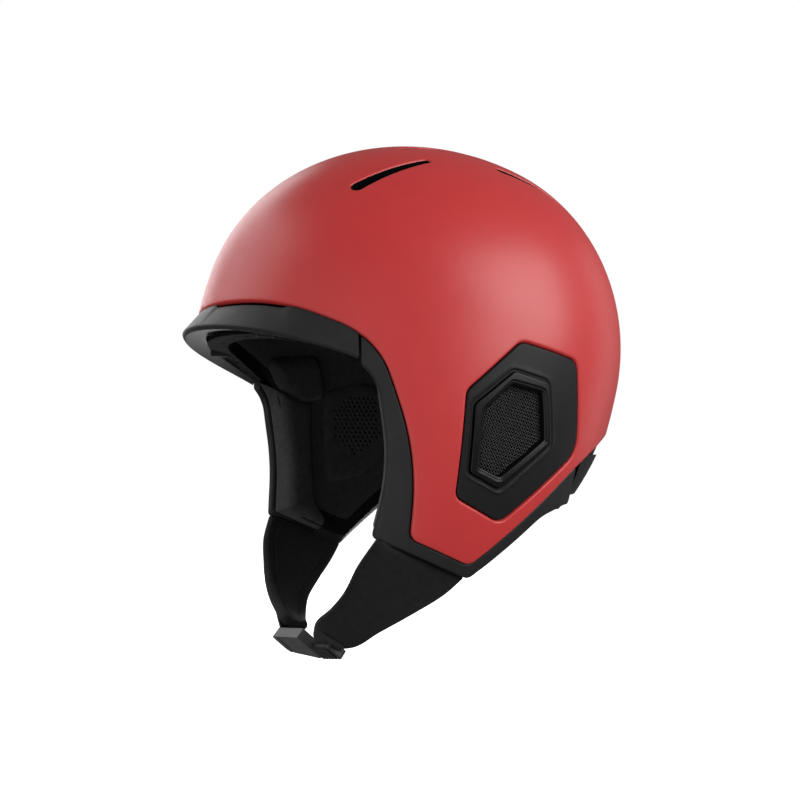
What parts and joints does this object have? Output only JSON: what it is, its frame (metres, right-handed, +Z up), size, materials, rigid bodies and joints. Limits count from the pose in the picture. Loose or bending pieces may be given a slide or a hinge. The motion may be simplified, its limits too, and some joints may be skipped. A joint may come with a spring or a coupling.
{
  "type": "water helmet",
  "caption": "Water-sports helmet with a domed hard shell, soft clip-on peak, hexagonal ear vents, soft cheek flaps with a magnetic chin buckle, and a rear fit dial.",
  "frame": {"origin": "centre of the head space, where the mount named head sits, level with the middle of the brow", "axes": "+Z up towards the crown, -Y out through the face opening, +X towards the wearer's left ear"},
  "size_m": [0.22, 0.2539, 0.287],
  "materials": {
    "shell_red": "satin matte coral red lacquer over moulded plastic",
    "liner_foam": "black expanded bead foam",
    "peak_black": "soft-touch black",
    "trim_black": "soft-touch black",
    "nape_black": "fine-grained moulding",
    "panel_black": "fine-grained moulding",
    "mesh_black": "woven acoustic mesh",
    "pad_fabric": "brushed lining over soft foam",
    "neoprene": "smooth knitted facing over neoprene",
    "webbing": "ribbed polyester webbing",
    "buckle_grey": "grey moulding",
    "buckle_black": "black moulding",
    "dial_black": "black moulding",
    "steel": "nickel plated"
  },
  "bodies": {
    "helmet": {"outer_shell": "shell_red", "impact_liner": "liner_foam", "nape_panel": "nape_black", "nape_foam": "liner_foam", "nape_cover": "nape_black", "brow_pad": "pad_fabric", "crown_pad": "pad_fabric", "dial_housing": "dial_black", "dial_housing_lid": "dial_black", "side_trim_left": "trim_black", "side_trim_right": "trim_black", "flap_channel_left": "trim_black", "flap_channel_right": "trim_black", "side_panel_left": "panel_black", "side_panel_right": "panel_black", "ear_vent_frame_left": "panel_black", "ear_vent_frame_right": "panel_black", "ear_mesh_left": "mesh_black", "ear_mesh_right": "mesh_black", "ear_pad_left": "pad_fabric", "ear_pad_right": "pad_fabric", "cheek_pad_left": "pad_fabric", "cheek_pad_right": "pad_fabric", "temple_pad_left": "pad_fabric", "temple_pad_right": "pad_fabric"},
    "peak": {"peak": "peak_black", "peak_snap_pins": "peak_black"},
    "dial": {"dial_knob": "dial_black", "dial_screw": "steel", "dial_shaft": "steel", "lace_spool": "dial_black"},
    "cradle": {"fit_cradle": "dial_black", "cradle_guide_tongues": "dial_black", "cradle_pads": "pad_fabric"},
    "flap_left": {"cheek_flap_left": "neoprene", "buckle_socket": "buckle_black", "socket_magnet": "steel", "chin_webbing_left": "webbing"},
    "flap_right": {"cheek_flap_right": "neoprene", "buckle_tongue": "buckle_grey", "tongue_magnet": "steel", "chin_webbing_right": "webbing"}
  },
  "joints": [
    {"name": "peak_pull", "type": "slide", "parent": "helmet", "child": "peak", "axis": [0, -1, 0], "range_m": [0, 0.04]},
    {"name": "dial_turn", "type": "hinge", "parent": "helmet", "child": "dial", "pos_m": [0, 0.08571, -0.07], "axis": [0, 0.8503, -0.5262], "range_deg": [0, 230]},
    {"name": "cradle_slide", "type": "slide", "parent": "helmet", "child": "cradle", "axis": [0, -0.8503, 0.5262], "range_m": [0, 0.00805]},
    {"name": "flap_left_swing", "type": "hinge", "parent": "helmet", "child": "flap_left", "pos_m": [0.08102, -0.07359, -0.0994], "axis": [0.0296, -0.9182, 0.3949], "range_deg": [0, 60]},
    {"name": "flap_right_swing", "type": "hinge", "parent": "helmet", "child": "flap_right", "pos_m": [-0.08102, -0.07359, -0.0994], "axis": [0.0296, 0.9182, -0.3949], "range_deg": [0, 60]}
  ],
  "couplings": [
    {"joint": "cradle_slide", "follows": "dial_turn", "m_per_rad": 0.002}
  ]
}
